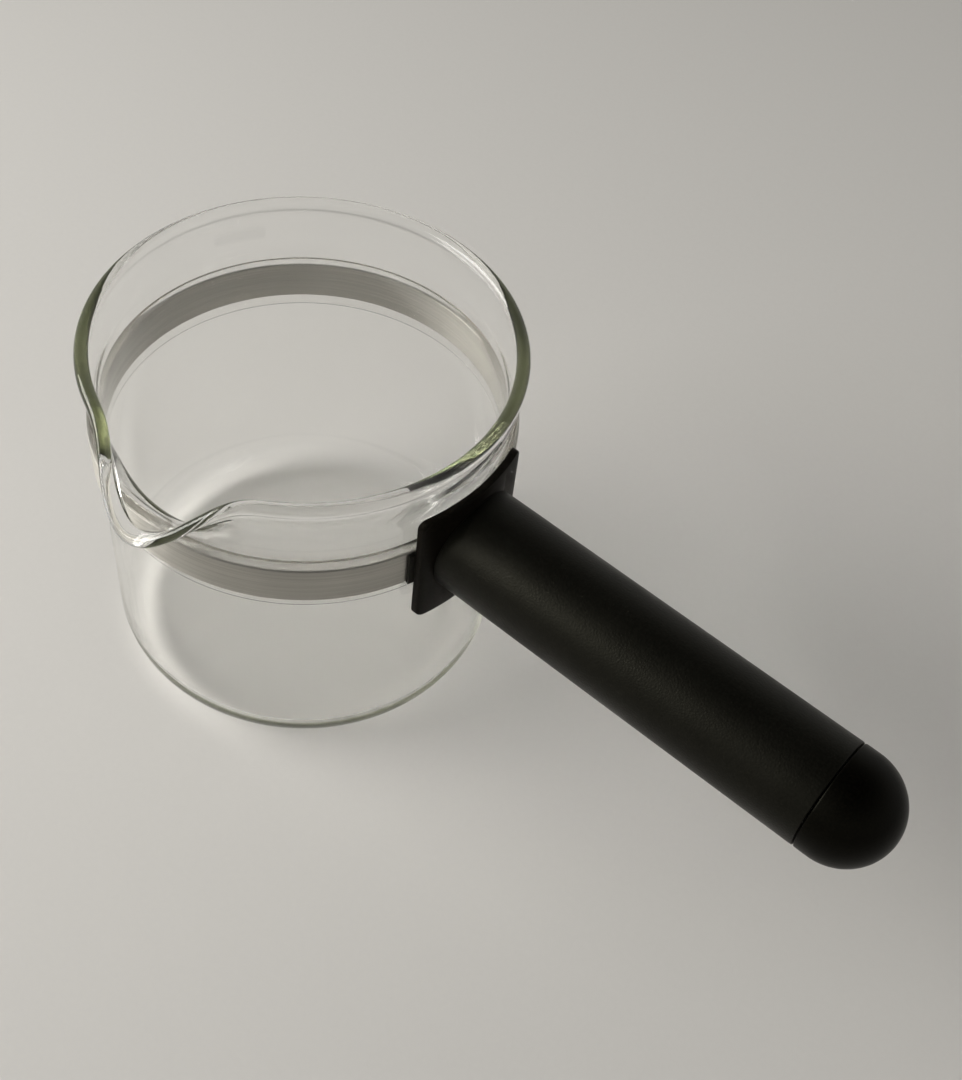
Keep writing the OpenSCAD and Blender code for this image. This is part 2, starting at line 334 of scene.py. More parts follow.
class Board:
    """A node tree with short calls to fill it."""

    MIX_COLOURS: ClassVar[slice] = slice(6, 8)
    MIX_RESULT: ClassVar[int] = 2

    def __init__(self, tree: bpy.types.NodeTree) -> None:
        """Take the node tree to fill."""
        self.tree = tree

    def add(self, kind: str, values: dict[str, object] | None = None, **settings: object) -> bpy.types.Node:
        """Add a node.

        Args:
            kind: Node type without its ShaderNode prefix.
            values: Inputs by name, each a plain value or the socket that feeds it.
            **settings: Properties of the node itself.

        Returns:
            The new node.
        """
        node = self.tree.nodes.new("ShaderNode" + kind)
        for key, value in settings.items():
            setattr(node, key, value)
        self.fill(node, values or {})
        return node

    def fill(self, node: bpy.types.Node, values: dict[str, object]) -> None:
        """Set inputs of a node by name, each to a plain value or the socket that feeds it."""
        for key, value in values.items():
            self.feed(node.inputs[key], value)

    def feed(self, socket: bpy.types.NodeSocket, value: object) -> None:
        """Set an input to a plain value, or link it to the socket that feeds it.

        Args:
            socket: Input of a node.
            value: Plain value or output of another node.
        """
        if isinstance(value, bpy.types.NodeSocket):
            self.tree.links.new(value, socket)
        else:
            socket.default_value = value

    def math(self, operation: str, first: object, second: object) -> bpy.types.NodeSocket:
        """Calculate with two numbers.

        Args:
            operation: What is done, such as ADD.
            first: Socket or plain number.
            second: Socket or plain number.

        Returns:
            The socket of the result.
        """
        node = self.add("Math", operation=operation)
        self.feed(node.inputs[0], first)
        self.feed(node.inputs[1], second)
        return node.outputs[0]

    def vector(self, operation: str, first: object, second: object) -> bpy.types.Node:
        """Calculate with two vectors.

        Args:
            operation: What is done, such as DOT_PRODUCT.
            first: Socket or plain vector.
            second: Socket or plain vector.

        Returns:
            The node, whose outputs hold the result.
        """
        node = self.add("VectorMath", operation=operation)
        self.feed(node.inputs[0], first)
        self.feed(node.inputs[1], second)
        return node

    def remap(
        self, value: object, low: object, high: object, start: float = 0.0, end: float = 1.0,
    ) -> bpy.types.NodeSocket:
        """Return a value moved from the span low to high to the span start to end, held inside it."""
        spans = {"Value": value, "From Min": low, "From Max": high, "To Min": start, "To Max": end}
        return self.add("MapRange", spans).outputs["Result"]

    def blend(self, share: bpy.types.NodeSocket, first: object, second: object) -> bpy.types.NodeSocket:
        """Mix two colours.

        Args:
            share: Share of the second colour, from 0 to 1.
            first: Socket or plain colour.
            second: Socket or plain colour.

        Returns:
            The socket of the mixed colour.
        """
        node = self.add("Mix", data_type="RGBA")
        self.feed(node.inputs[0], share)
        for socket, value in zip(node.inputs[self.MIX_COLOURS], (first, second)):
            self.feed(socket, value if isinstance(value, bpy.types.NodeSocket) else (*value, 1.0))
        return node.outputs[self.MIX_RESULT]

    def bump(
        self, height: bpy.types.NodeSocket, strength: float, distance: float, **under: object,
    ) -> bpy.types.NodeSocket:
        """Return the normal of a face with bumps, over an earlier normal where Normal is given."""
        values = {"Height": height, "Strength": strength, "Distance": distance, **under}
        return self.add("Bump", values).outputs["Normal"]

    def group(self, tree: bpy.types.NodeTree, **values: object) -> bpy.types.Node:
        """Place a node group and set its inputs by name.

        Args:
            tree: Group that is placed.
            **values: Its inputs, each a plain value.

        Returns:
            The new node.
        """
        node = self.add("Group", node_tree=tree)
        self.fill(node, values)
        return node

    @classmethod
    def new_group(
        cls, name: str, inputs: dict[str, str], outputs: Sequence[str],
    ) -> tuple[Board, dict[str, bpy.types.NodeSocket], bpy.types.Node]:
        """Start a node group.

        Args:
            name: Name of the group.
            inputs: Input names with their kind, Float or Vector.
            outputs: Names of the outputs, all numbers.

        Returns:
            The board, its input sockets by name and its output node.
        """
        tree = bpy.data.node_groups.new(name, "ShaderNodeTree")
        for key, kind in inputs.items():
            tree.interface.new_socket(name=key, in_out="INPUT", socket_type="NodeSocket" + kind)
        for key in outputs:
            tree.interface.new_socket(name=key, in_out="OUTPUT", socket_type="NodeSocketFloat")
        entry, leave = tree.nodes.new("NodeGroupInput"), tree.nodes.new("NodeGroupOutput")
        return cls(tree), {key: entry.outputs[key] for key in inputs}, leave

    @classmethod
    def new_material(cls, name: str) -> tuple[bpy.types.Material, Board, bpy.types.Node, bpy.types.Node]:
        """Start a material.

        Args:
            name: Name of the material.

        Returns:
            The material, its board, its principled shader and its output node.
        """
        material = bpy.data.materials.new(name)
        material.use_nodes = True
        nodes = material.node_tree.nodes
        return material, cls(material.node_tree), nodes["Principled BSDF"], nodes["Material Output"]


class Effects:
    """Node groups that several finishes share, each built once."""

    FLECK_SPAN: ClassVar[Point] = (0.42, 0.68)
    FLECK_WIDER: ClassVar[float] = 0.6
    PATCH_SPAN: ClassVar[Point] = (0.35, 0.65)
    BAND_SPAN: ClassVar[Point] = (0.36, 0.64)
    BROAD_SCALE: ClassVar[float] = 0.25
    STREAK_DRIFT: ClassVar[float] = 0.03
    EDGE_SPAN: ClassVar[Point] = (0.52, 0.62)
    WEAR_SPAN: ClassVar[Point] = (0.35, 0.6)

    def __init__(self) -> None:
        """Build the groups."""
        self.grain = self._grain()
        self.smudge = self._smudge()
        self.brushed = self._brushed()
        self.streaks = self._streaks()
        self.worn = self._worn()

    @staticmethod
    def _grain() -> bpy.types.NodeTree:
        """Build the pebbled grain of a spark-worn mould: its height and its scattered flecks.

        Returns:
            The node group.
        """
        board, entry, leave = Board.new_group("moulded_grain", {"Scale": "Float"}, ("Height", "Fleck"))
        place = board.add("TexCoord").outputs["Object"]
        scale = entry["Scale"]
        pebbles = board.add("TexVoronoi", {"Vector": place, "Scale": scale}, feature="SMOOTH_F1")
        coarse = board.add("TexNoise", {"Vector": place, "Scale": scale, "Detail": 3.0, "Roughness": 0.6})
        wider = board.math("MULTIPLY", scale, Effects.FLECK_WIDER)
        flecks = board.add("TexNoise", {"Vector": place, "Scale": wider, "Detail": 2.0, "Roughness": 0.7})
        board.feed(leave.inputs["Height"], board.math("ADD", pebbles.outputs["Distance"], coarse.outputs["Fac"]))
        board.feed(leave.inputs["Fleck"], board.remap(flecks.outputs["Fac"], *Effects.FLECK_SPAN))
        return board.tree

    @staticmethod
    def _smudge() -> bpy.types.NodeTree:
        """Build soft uneven patches, as handling leaves them.

        Returns:
            The node group.
        """
        board, entry, leave = Board.new_group("handling_smudge", {"Scale": "Float"}, ("Patch",))
        place = board.add("TexCoord").outputs["Object"]
        look = {"Vector": place, "Scale": entry["Scale"], "Detail": 4.0, "Distortion": 0.6}
        cloud = board.add("TexNoise", look).outputs["Fac"]
        board.feed(leave.inputs["Patch"], board.remap(cloud, *Effects.PATCH_SPAN))
        return board.tree

    @staticmethod
    def _brushed() -> bpy.types.NodeTree:
        """Build drawn lines of brushed metal: stretch is low along the lines and high across them.

        Returns:
            The node group.
        """
        board, entry, leave = Board.new_group("brushed_lines", {"Stretch": "Vector"}, ("Height", "Band"))
        place = board.add("TexCoord").outputs["Object"]
        drawn = board.vector("MULTIPLY", place, entry["Stretch"]).outputs[0]
        fine = board.add("TexNoise", {"Vector": drawn, "Scale": 1.0, "Detail": 5.0, "Roughness": 0.7}).outputs["Fac"]
        broad = board.add("TexNoise", {"Vector": drawn, "Scale": Effects.BROAD_SCALE, "Detail": 2.0}).outputs["Fac"]
        mean = board.math("MULTIPLY", board.math("ADD", fine, broad), 0.5)
        board.feed(leave.inputs["Height"], fine)
        board.feed(leave.inputs["Band"], board.remap(mean, *Effects.BAND_SPAN))
        return board.tree

    @staticmethod
    def _streaks() -> bpy.types.NodeTree:
        """Build streaks that run round a drawn glass rim, over a height or past a radius.

        Returns:
            The node group.
        """
        inputs = {"Scale": "Float", "Over": "Float", "Past": "Float", "Fade": "Float"}
        board, entry, leave = Board.new_group("rim_streaks", inputs, ("Height",))
        parts = board.add("SeparateXYZ", {"Vector": board.add("TexCoord").outputs["Object"]}).outputs
        flat = board.add("CombineXYZ", {"X": parts["X"], "Y": parts["Y"]}).outputs[0]
        radius = board.add("VectorMath", {"Vector": flat}, operation="LENGTH").outputs["Value"]
        section = board.add("CombineXYZ", {"X": radius, "Z": parts["Z"]}).outputs[0]
        drift = {"Vector": flat, "Scale": Effects.STREAK_DRIFT}
        slow = board.add("VectorMath", drift, operation="SCALE").outputs[0]
        place = board.vector("ADD", section, slow).outputs[0]
        drawn = board.add("TexNoise", {"Vector": place, "Scale": entry["Scale"], "Detail": 1.5}).outputs["Fac"]
        ends = [board.math("ADD", entry[limit], entry["Fade"]) for limit in ("Over", "Past")]
        over = board.remap(parts["Z"], entry["Over"], ends[0])
        past = board.remap(radius, entry["Past"], ends[1])
        board.feed(leave.inputs["Height"], board.math("MULTIPLY", drawn, board.math("MAXIMUM", over, past)))
        return board.tree

    @staticmethod
    def _worn() -> bpy.types.NodeTree:
        """Build a mask of rubbed outer edges, broken up by fine noise.

        Returns:
            The node group.
        """
        board, entry, leave = Board.new_group("rubbed_edges", {"Scale": "Float"}, ("Rubbed",))
        edge = board.remap(board.add("NewGeometry").outputs["Pointiness"], *Effects.EDGE_SPAN)
        place = board.add("TexCoord").outputs["Object"]
        noise = board.add("TexNoise", {"Vector": place, "Scale": entry["Scale"], "Detail": 3.0})
        broken = board.remap(noise.outputs["Fac"], *Effects.WEAR_SPAN)
        board.feed(leave.inputs["Rubbed"], board.math("MULTIPLY", edge, broken))
        return board.tree


@dataclass(frozen=True)
class MouldedBlack:
    """Black moulded plastic with a fine pebbled grain.

    Attributes:
        name: Name of the material.
        colour: Base colour.
        fleck: Colour of the scattered lighter flecks and rubbed edges.
        roughness: Roughness between the smudges.
        smudge_gain: How much rougher or smoother a smudge is.
        gloss: Strength of its plain reflection.
        bloom: Strength of the pale bloom that shows at a flat angle.
        grain_scale: Grains per metre.
        grain_height: Height of the grain.
    """

    BLOOM_TINT: ClassVar[Colour] = (1.0, 0.9, 0.7)
    GLOSS_TINT: ClassVar[Colour] = (1.0, 0.97, 0.75)
    SMUDGE_SCALE: ClassVar[float] = 55.0
    RUB_SCALE: ClassVar[float] = 900.0
    FLECK_SHARE: ClassVar[float] = 0.55
    GRAIN_STRENGTH: ClassVar[float] = 0.6

    name: str
    colour: Colour
    fleck: Colour
    roughness: float
    smudge_gain: float
    gloss: float
    bloom: float
    grain_scale: float
    grain_height: float

    def make(self, effects: Effects) -> bpy.types.Material:
        """Make the material.

        Args:
            effects: Shared node groups.

        Returns:
            The new material.
        """
        material, board, shader, _ = Board.new_material(self.name)
        grain = board.group(effects.grain, Scale=self.grain_scale)
        patch = board.group(effects.smudge, Scale=self.SMUDGE_SCALE).outputs["Patch"]
        rubbed = board.group(effects.worn, Scale=self.RUB_SCALE).outputs["Rubbed"]
        flecks = board.math("MULTIPLY", grain.outputs["Fleck"], self.FLECK_SHARE)
        lighter = board.math("MAXIMUM", flecks, rubbed)
        low, high = self.roughness - self.smudge_gain, self.roughness + self.smudge_gain
        board.fill(shader, {
            "Base Color": board.blend(lighter, self.colour, self.fleck),
            "Roughness": board.remap(patch, 0.0, 1.0, low, high),
            "Normal": board.bump(grain.outputs["Height"], self.GRAIN_STRENGTH, self.grain_height),
            "Specular IOR Level": self.gloss,
            "Specular Tint": (*self.GLOSS_TINT, 1.0),
            "Sheen Weight": self.bloom,
            "Sheen Roughness": self.roughness,
            "Sheen Tint": (*self.BLOOM_TINT, 1.0),
        })
        return material


@dataclass(frozen=True)
class DrawnMetal:
    """Brushed or turned metal.

    Attributes:
        name: Name of the material.
        dark: Colour in the grooves.
        bright: Colour on the ridges.
        roughness: Mean roughness.
        stretch: Lines per metre along each axis.
        line_height: Depth of the lines.
        anisotropy: How far reflections are drawn out across the lines.
    """

    ACROSS: ClassVar[float] = 0.25
    SMUDGE_SCALE: ClassVar[float] = 70.0
    LINE_GAIN: ClassVar[float] = 0.12
    SMUDGE_GAIN: ClassVar[float] = 0.08
    LINE_STRENGTH: ClassVar[float] = 0.5

    name: str
    dark: Colour
    bright: Colour
    roughness: float
    stretch: Triple
    line_height: float
    anisotropy: float

    def make(self, effects: Effects) -> bpy.types.Material:
        """Make the material.

        Args:
            effects: Shared node groups.

        Returns:
            The new material.
        """
        material, board, shader, _ = Board.new_material(self.name)
        lines = board.group(effects.brushed, Stretch=self.stretch)
        band = lines.outputs["Band"]
        patch = board.group(effects.smudge, Scale=self.SMUDGE_SCALE).outputs["Patch"]
        lined = board.math("MULTIPLY", band, self.LINE_GAIN)
        smudged = board.math("MULTIPLY", patch, self.SMUDGE_GAIN)
        least = self.roughness - (self.LINE_GAIN + self.SMUDGE_GAIN) / 2
        board.fill(shader, {
            "Base Color": board.blend(band, self.dark, self.bright),
            "Roughness": board.math("ADD", board.math("ADD", lined, smudged), least),
            "Normal": board.bump(lines.outputs["Height"], self.LINE_STRENGTH, self.line_height),
            "Metallic": 1.0,
            "Anisotropic": self.anisotropy,
            "Anisotropic Rotation": self.ACROSS,
        })
        return material


@dataclass(frozen=True)
class ClearGlass:
    """Clear heat-proof glass, faintly green through its thickness, with drawn waves in its faces.

    Attributes:
        name: Name of the material.
        tint: Colour that is left after light has run through the glass.
        density: How fast the glass takes that colour, per metre.
        bend: Refraction index.
        haze: Roughness in its smudges.
        wave_height: Height of the waves in the faces.
        streak_height: Height of the streaks round the rim and the lip.
    """

    RIM_OVER: ClassVar[float] = 79.5 * MM
    LIP_PAST: ClassVar[float] = 46.2 * MM
    STREAK_FADE: ClassVar[float] = 2.0 * MM
    STREAK_SCALE: ClassVar[float] = 1300.0
    STREAK_STRENGTH: ClassVar[float] = 0.6
    WAVE_STRETCH: ClassVar[Triple] = (150.0, 150.0, 22.0)
    WAVE_STRENGTH: ClassVar[float] = 0.25
    SMUDGE_SCALE: ClassVar[float] = 38.0
    SMUDGE_FROM: ClassVar[float] = 0.55

    name: str
    tint: Colour
    density: float
    bend: float
    haze: float
    wave_height: float
    streak_height: float

    def make(self, effects: Effects) -> bpy.types.Material:
        """Make the material.

        Args:
            effects: Shared node groups.

        Returns:
            The new material.
        """
        material, board, shader, output = Board.new_material(self.name)
        patch = board.group(effects.smudge, Scale=self.SMUDGE_SCALE).outputs["Patch"]
        waves = board.group(effects.brushed, Stretch=self.WAVE_STRETCH).outputs["Height"]
        wavy = board.bump(waves, self.WAVE_STRENGTH, self.wave_height)
        limits = {"Over": self.RIM_OVER, "Past": self.LIP_PAST, "Fade": self.STREAK_FADE}
        streaks = board.group(effects.streaks, Scale=self.STREAK_SCALE, **limits).outputs["Height"]
        board.fill(shader, {
            "Base Color": (1.0, 1.0, 1.0, 1.0),
            "Transmission Weight": 1.0,
            "IOR": self.bend,
            "Roughness": board.remap(patch, self.SMUDGE_FROM, 1.0, 0.0, self.haze),
            "Normal": board.bump(streaks, self.STREAK_STRENGTH, self.streak_height, Normal=wavy),
        })
        body = board.add("VolumeAbsorption", {"Color": (*self.tint, 1.0), "Density": self.density})
        board.feed(output.inputs["Volume"], body.outputs[0])
        return material


class Finish(Enum):
    """Finishes of the coffee server's pieces."""

    GLASS = ClearGlass(
        "clear_glass", tint=(0.525, 0.556, 0.3), density=10.0, bend=1.47, haze=0.018,
        wave_height=0.05 * MM, streak_height=0.03 * MM)
    SLEEVE = ClearGlass(
        "clear_sleeve", tint=(0.6, 0.58, 0.52), density=150.0, bend=1.43, haze=0.05,
        wave_height=0.02 * MM, streak_height=0.0)
    BAND = DrawnMetal(
        "brushed_band", dark=(0.355, 0.342, 0.309), bright=(0.515, 0.498, 0.455), roughness=0.49,
        stretch=(60, 60, 9000), line_height=0.01 * MM, anisotropy=0.78)
    ROD = DrawnMetal(
        "turned_rod", dark=(0.42, 0.41, 0.39), bright=(0.62, 0.61, 0.59), roughness=0.34,
        stretch=(7000, 90, 90), line_height=0.01 * MM, anisotropy=0.0)
    BRASS = DrawnMetal(
        "turned_brass", dark=(0.52, 0.38, 0.16), bright=(0.78, 0.6, 0.3), roughness=0.32,
        stretch=(6000, 90, 90), line_height=0.01 * MM, anisotropy=0.0)
    GRIP = MouldedBlack(
        "grained_grip", colour=(0.0012, 0.0012, 0.0009), fleck=(0.005, 0.0047, 0.0036), roughness=0.4,
        smudge_gain=0.05, gloss=0.15, bloom=0.01, grain_scale=2600.0, grain_height=0.05 * MM)
    CAP = MouldedBlack(
        "satin_cap", colour=(0.0004, 0.00035, 0.0002), fleck=(0.003, 0.0024, 0.0015), roughness=0.32,
        smudge_gain=0.06, gloss=0.065, bloom=0.012, grain_scale=3400.0, grain_height=0.02 * MM)
    SADDLE = MouldedBlack(
        "satin_saddle", colour=(0.0018, 0.0014, 0.001), fleck=(0.011, 0.008, 0.0055), roughness=0.42,
        smudge_gain=0.07, gloss=0.05, bloom=0.01, grain_scale=3000.0, grain_height=0.025 * MM)
    LINER = MouldedBlack(
        "rubbery_liner", colour=(0.003, 0.003, 0.0028), fleck=(0.01, 0.0095, 0.009), roughness=0.62,
        smudge_gain=0.06, gloss=0.08, bloom=0.03, grain_scale=2200.0, grain_height=0.03 * MM)


class Dresser:
    """Makes each finish once and puts it on pieces."""

    def __init__(self) -> None:
        """Build the shared effects and every finish."""
        effects = Effects()
        self.made = {finish: finish.value.make(effects) for finish in Finish}

    def dress(self, piece: bpy.types.Object, finish: Finish) -> None:
        """Give a piece a finish in place of all that it has.

        Args:
            piece: Piece or node of the model.
            finish: Finish that it gets.
        """
        if not piece.material_slots:
            piece.data.materials.append(self.made[finish])
        for place in piece.material_slots:
            place.material = self.made[finish]

    def fit(self, piece: bpy.types.Object, finish: Finish, node: str, body: Body) -> None:
        """Dress a piece, let it stand for a node of the model and report it.

        Args:
            piece: Finished piece.
            finish: Finish that it gets.
            node: Node that it stands for.
            body: Body that it rides on.
        """
        self.dress(piece, finish)
        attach(piece, body.value)
        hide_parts(node)
        LOG.info("%s stands for %s on %s, %d faces", piece.name, node, body.value, len(piece.data.polygons))


# Pieces of the coffee server


@dataclass
class Beaker:
    """Glass vessel with a rolled rim and a pouring lip that is drawn out of it."""

    radius: float = 44.8 * MM
    wall: float = 1.8 * MM
    floor: float = 2.6 * MM
    corner: float = 9.2 * MM
    bead_extra: float = 1.2 * MM
    neck_round: float = 3.5 * MM
    neck_room: float = 0.225 * MM
    rim_flare: float = 1.18 * MM
    lip_reach: float = 8.62 * MM
    lip_drop: float = 11.3 * MM
    lip_half_angle: float = 32.0
    lip_turn: float = -84.0
    lip_bend: float = 88.0
    lip_round: float = 3.6
    flare_start: float = 0.25
    flare_end: float = 0.8
    root_over_sleeve: float = 0.1 * MM
    wall_steps: int = 30
    neck_steps: int = 8
    bead_steps: int = 30
    side_steps: int = 8
    corner_steps: int = 20
    hollow_steps: int = 18
    steps: int = 480

    def __post_init__(self) -> None:
        """Take the height and the lip's root from the model."""
        self.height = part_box("glass_beaker")[1].z
        self.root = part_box("clear_sleeve")[1].z + self.root_over_sleeve
        self.bead = (self.wall + self.bead_extra) / 2
        self.middle = self.radius - self.wall / 2
        self.rise = self.height - self.bead - self.root

    def line(self, share: float, lip: np.ndarray) -> np.ndarray:
        """Return points of the upper wall's middle line.

        Args:
            share: 0 at the lip's root and 1 in the rim's bead.
            lip: How far each point belongs to the lip, from 0 to 1.

        Returns:
            Rows of radius and height.
        """
        flare = min(1.0, max(0.0, (share - self.flare_start) / (self.flare_end - self.flare_start)))
        wide = self.rim_flare * flare**2 * (3 - 2 * flare)
        rim = np.array([self.middle + wide, self.root + self.rise * share])
        bend = math.radians(self.lip_bend)
        out = (self.lip_reach + self.rim_flare) * (1 - math.cos(bend * share)) / (1 - math.cos(bend))
        up = (self.rise - self.lip_drop) * math.sin(bend * share) / math.sin(bend)
        drawn = np.array([self.middle + out, self.root + up])
        return rim + (drawn - rim) * lip[:, None]

    def directions(self, share: float, lip: np.ndarray, step: float = 0.005) -> tuple[np.ndarray, np.ndarray]:
        """Return the directions along and out of the upper wall.

        Args:
            share: 0 at the lip's root and 1 in the rim's bead.
            lip: How far each place belongs to the lip, from 0 to 1.
            step: Share back to the point that the direction is taken from.

        Returns:
            Rows of unit steps of radius and height, along the wall and out of it.
        """
        along = self.line(share, lip) - self.line(share - step, lip)
        along = along / np.linalg.norm(along, axis=1)[:, None]
        return along, np.stack([along[:, 1], -along[:, 0]], axis=1)

    def upper(self, lip: np.ndarray) -> np.ndarray:
        """Return the upper wall's outline, up the outside, over the bead and down the inside.

        Args:
            lip: How far each outline belongs to the lip, from 0 to 1.

        Returns:
            One outline for each value of lip, as points of radius and height.
        """
        half, neck = self.wall / 2, self.neck_round
        below = math.sqrt((self.bead + neck) ** 2 - (half + neck) ** 2)
        turn = math.atan2(below, half + neck)
        along, out = self.directions(1.0, lip)
        centre = self.line(1.0, lip)

        def face(share: float, side: int) -> np.ndarray:
            """Place the points of one face.

            Args:
                share: 0 at the lip's root and 1 in the rim's bead.
                side: 1 for the outside and -1 for the inside.

            Returns:
                Rows of radius and height.
            """
            middle = self.line(share, lip)
            outward = self.directions(share, lip)[1] if share else np.tile([1.0, 0.0], (len(lip), 1))
            return middle + side * half * outward

        def hollow(i: int, side: int) -> np.ndarray:
            """Place the points of the hollow under the bead.

            Args:
                i: Step along the hollow.
                side: 1 for the outside and -1 for the inside.

            Returns:
                Rows of radius and height.
            """
            t = turn * i / self.neck_steps
            down, away = -below + neck * math.sin(t), half + neck - neck * math.cos(t)
            return centre + down * along + side * away * out

        top = 1 - (below + self.neck_room) / self.rise
        shares = [top * i / self.wall_steps for i in range(self.wall_steps + 1)]
        bend = math.pi / 2 + turn
        turns = [bend * (1 - 2 * i / self.bead_steps) for i in range(1, self.bead_steps)]
        bead = [centre + self.bead * (math.cos(t) * along + math.sin(t) * out) for t in turns]
        outside, inside = (
            [face(share, side) for share in shares] + [hollow(i, side) for i in range(self.neck_steps + 1)]
            for side in (1, -1)
        )
        return np.stack(outside + bead + inside[::-1], axis=1)

    def build(self) -> bpy.types.Object:
        """Turn the vessel and draw the lip out of its rim.

        Returns:
            The finished piece.
        """
        inner, low = self.radius - self.wall, self.corner - self.wall
        foot = self.radius - self.corner
        upper = self.upper(np.zeros(1))[0]
        inner_top = self.floor + low
        parts = [i / self.side_steps for i in range(1, self.side_steps)]
        outline = (
            [(0.0, 0.0), (foot / 3, 0.0), (foot * 2 / 3, 0.0)]
            + arc((foot, self.corner), self.corner, -90, 0, self.corner_steps)
            + [(self.radius, self.corner + (self.root - self.corner) * part) for part in parts]
            + [tuple(point) for point in upper]
            + [(inner, self.root + (inner_top - self.root) * part) for part in parts]
            + arc((foot, inner_top), low, 0, -90, self.hollow_steps)
            + [(foot * 2 / 3, self.floor), (foot / 3, self.floor), (0.0, self.floor)]
        )
        lathe = Lathe(Vector(), UPRIGHT, ALONG_GRIP)
        piece = lathe.turn("glass_vessel", outline, self.steps)
        Bench.move(piece, lambda points: self.draw_lip(points, upper))
        bpy.ops.object.shade_smooth()
        return piece

    def draw_lip(self, points: np.ndarray, upper: np.ndarray) -> np.ndarray:
        """Draw the part of the rim at the lip outward and down.

        Args:
            points: Points of the turned vessel.
            upper: Outline of the upper wall that they were turned from.

        Returns:
            Their new places.
        """
        radius = np.hypot(points[:, 0], points[:, 1])
        turn = np.arctan2(points[:, 1], points[:, 0])
        away = (np.degrees(turn) - self.lip_turn + 180) % 360 - 180
        drawn = np.flatnonzero((np.abs(away) < self.lip_half_angle) & (points[:, 2] > self.root - MERGE))
        flat = np.stack([radius, points[:, 2]], axis=1)[drawn]
        nearest = np.argmin(np.linalg.norm(flat[:, None, :] - upper[None], axis=2), axis=1)
        lip = np.cos(np.radians(90 * away[drawn] / self.lip_half_angle)) ** self.lip_round
        there = self.upper(lip)[np.arange(len(drawn)), nearest]
        moved = points.copy()
        moved[drawn, 0] = there[:, 0] * np.cos(turn[drawn])
        moved[drawn, 1] = there[:, 0] * np.sin(turn[drawn])
        moved[drawn, 2] = there[:, 1]
        return moved


@dataclass
class ClampBand:
    """Steel band round the glass, folded out into two drilled ears."""

    thickness: float = 0.6 * MM
    edge_round: float = 0.15 * MM
    fold_round: float = 0.2 * MM
    ear_gap: float = 3.1 * MM
    ear_share: float = 2 / 3
    pin_room: float = 1.55 * MM
    pin_steps: int = 48
    fold_steps: int = 6
    steps: int = 360

    def __post_init__(self) -> None:
        """Take the band's place from the model."""
        low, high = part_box("clamp_band")
        self.out_r, self.width = -low.x, high.z - low.z
        self.mid_z, self.ear_end = (low.z + high.z) / 2, high.x
        pin_low, pin_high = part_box("ear_pin")
        self.pin_x, self.pin_l = (pin_low.x + pin_high.x) / 2, pin_high.y - pin_low.y

    def build(self) -> bpy.types.Object:
        """Sweep the band round the glass, fold out its ears and drill them.

        Returns:
            The finished piece.
        """
        fold = self.fold_round + self.thickness
        start = math.asin((self.ear_gap / 2 + fold) / self.out_r)
        low, high = self.mid_z - self.width / 2, self.mid_z + self.width / 2
        section = strip(self.out_r - self.thickness, self.out_r, low, high, self.edge_round)
        piece = sweep("clamp_strap", section, start, FULL_TURN - 2 * start, self.steps)
        for side in (1, -1):
            self.fold_ear(piece, side * start, fold)
        Bench.settle(piece, STRIP_CREASE)
        bpy.ops.object.select_all(action="DESELECT")
        turned = (math.pi / 2, 0, 0)
        place = (self.pin_x, 0, self.mid_z)
        bpy.ops.mesh.primitive_cylinder_add(
            vertices=self.pin_steps, radius=self.pin_room, depth=2 * self.pin_l, location=place, rotation=turned)
        Bench.combine(piece, bpy.context.object, "DIFFERENCE")
        return piece

    def fold_ear(self, piece: bpy.types.Object, end: float, fold: float) -> None:
        """Fold the band's end out along the grip and draw the ear from it.

        Args:
            piece: Band that is open in edit mode.
            end: Angle of the end round the glass, in radians.
            fold: Outer radius of the fold. Not used.
        """
        Bench.pick(piece, lambda point: on_ray(point, end))
        bpy.ops.transform.resize(value=(1, 1, self.ear_share), center_override=(0, 0, self.mid_z))
        centre_r = self.out_r + self.fold_round
        centre = Vector((centre_r * math.cos(end), centre_r * math.sin(end), self.mid_z))
        turn = math.copysign(math.pi / 2 - abs(end), end)
        bpy.ops.mesh.spin(steps=self.fold_steps, angle=-turn, center=centre, axis=UPRIGHT)
        reach = self.ear_end - centre.x
        bpy.ops.mesh.extrude_region_move(TRANSFORM_OT_translate={"value": (reach, 0, 0)})
        bpy.ops.mesh.edge_face_add()


@dataclass
class Sleeve:
    """Clear sleeve that keeps the band off the glass, open at the ears."""

    thickness: float = 0.5 * MM
    edge_round: float = 0.12 * MM
    steps: int = 240

    def build(self) -> bpy.types.Object:
        """Sweep the sleeve round the glass and close its ends.

        Returns:
            The finished piece.
        """
        low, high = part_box("clear_sleeve")
        out_r = -low.x
        start = math.asin(EAR_SLOT_WIDTH / 2 / out_r)
        section = strip(out_r - self.thickness, out_r, low.z, high.z, self.edge_round)
        piece = sweep("sleeve_strip", section, start, FULL_TURN - 2 * start, self.steps)
        close_ends(piece, (start, -start))
        return Bench.settle(piece, STRIP_CREASE)


@dataclass
class Liner:
    """Black strip between the band and the saddle, slotted for the ears."""

    thickness: float = 0.85 * MM
    edge_round: float = 0.18 * MM
    half_angle: float = 19.5
    cut_depth: float = 6.8 * MM
    steps: int = 64

    def build(self) -> bpy.types.Object:
        """Sweep the strip round the band and cut its slot.

        Returns:
            The finished piece.
        """
        low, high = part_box("band_liner")
        turn = math.radians(self.half_angle)
        out_r, mid_z = high.y / math.sin(turn), (low.z + high.z) / 2
        section = strip(out_r - self.thickness, out_r, low.z, high.z, self.edge_round)
        piece = sweep("liner_strip", section, -turn, 2 * turn, self.steps)
        close_ends(piece, (turn, -turn))
        Bench.settle(piece, STRIP_CREASE)
        Bench.cut_box(piece, (out_r, 0, mid_z), (self.cut_depth, EAR_SLOT_WIDTH, EAR_SLOT_HEIGHT))
        return piece


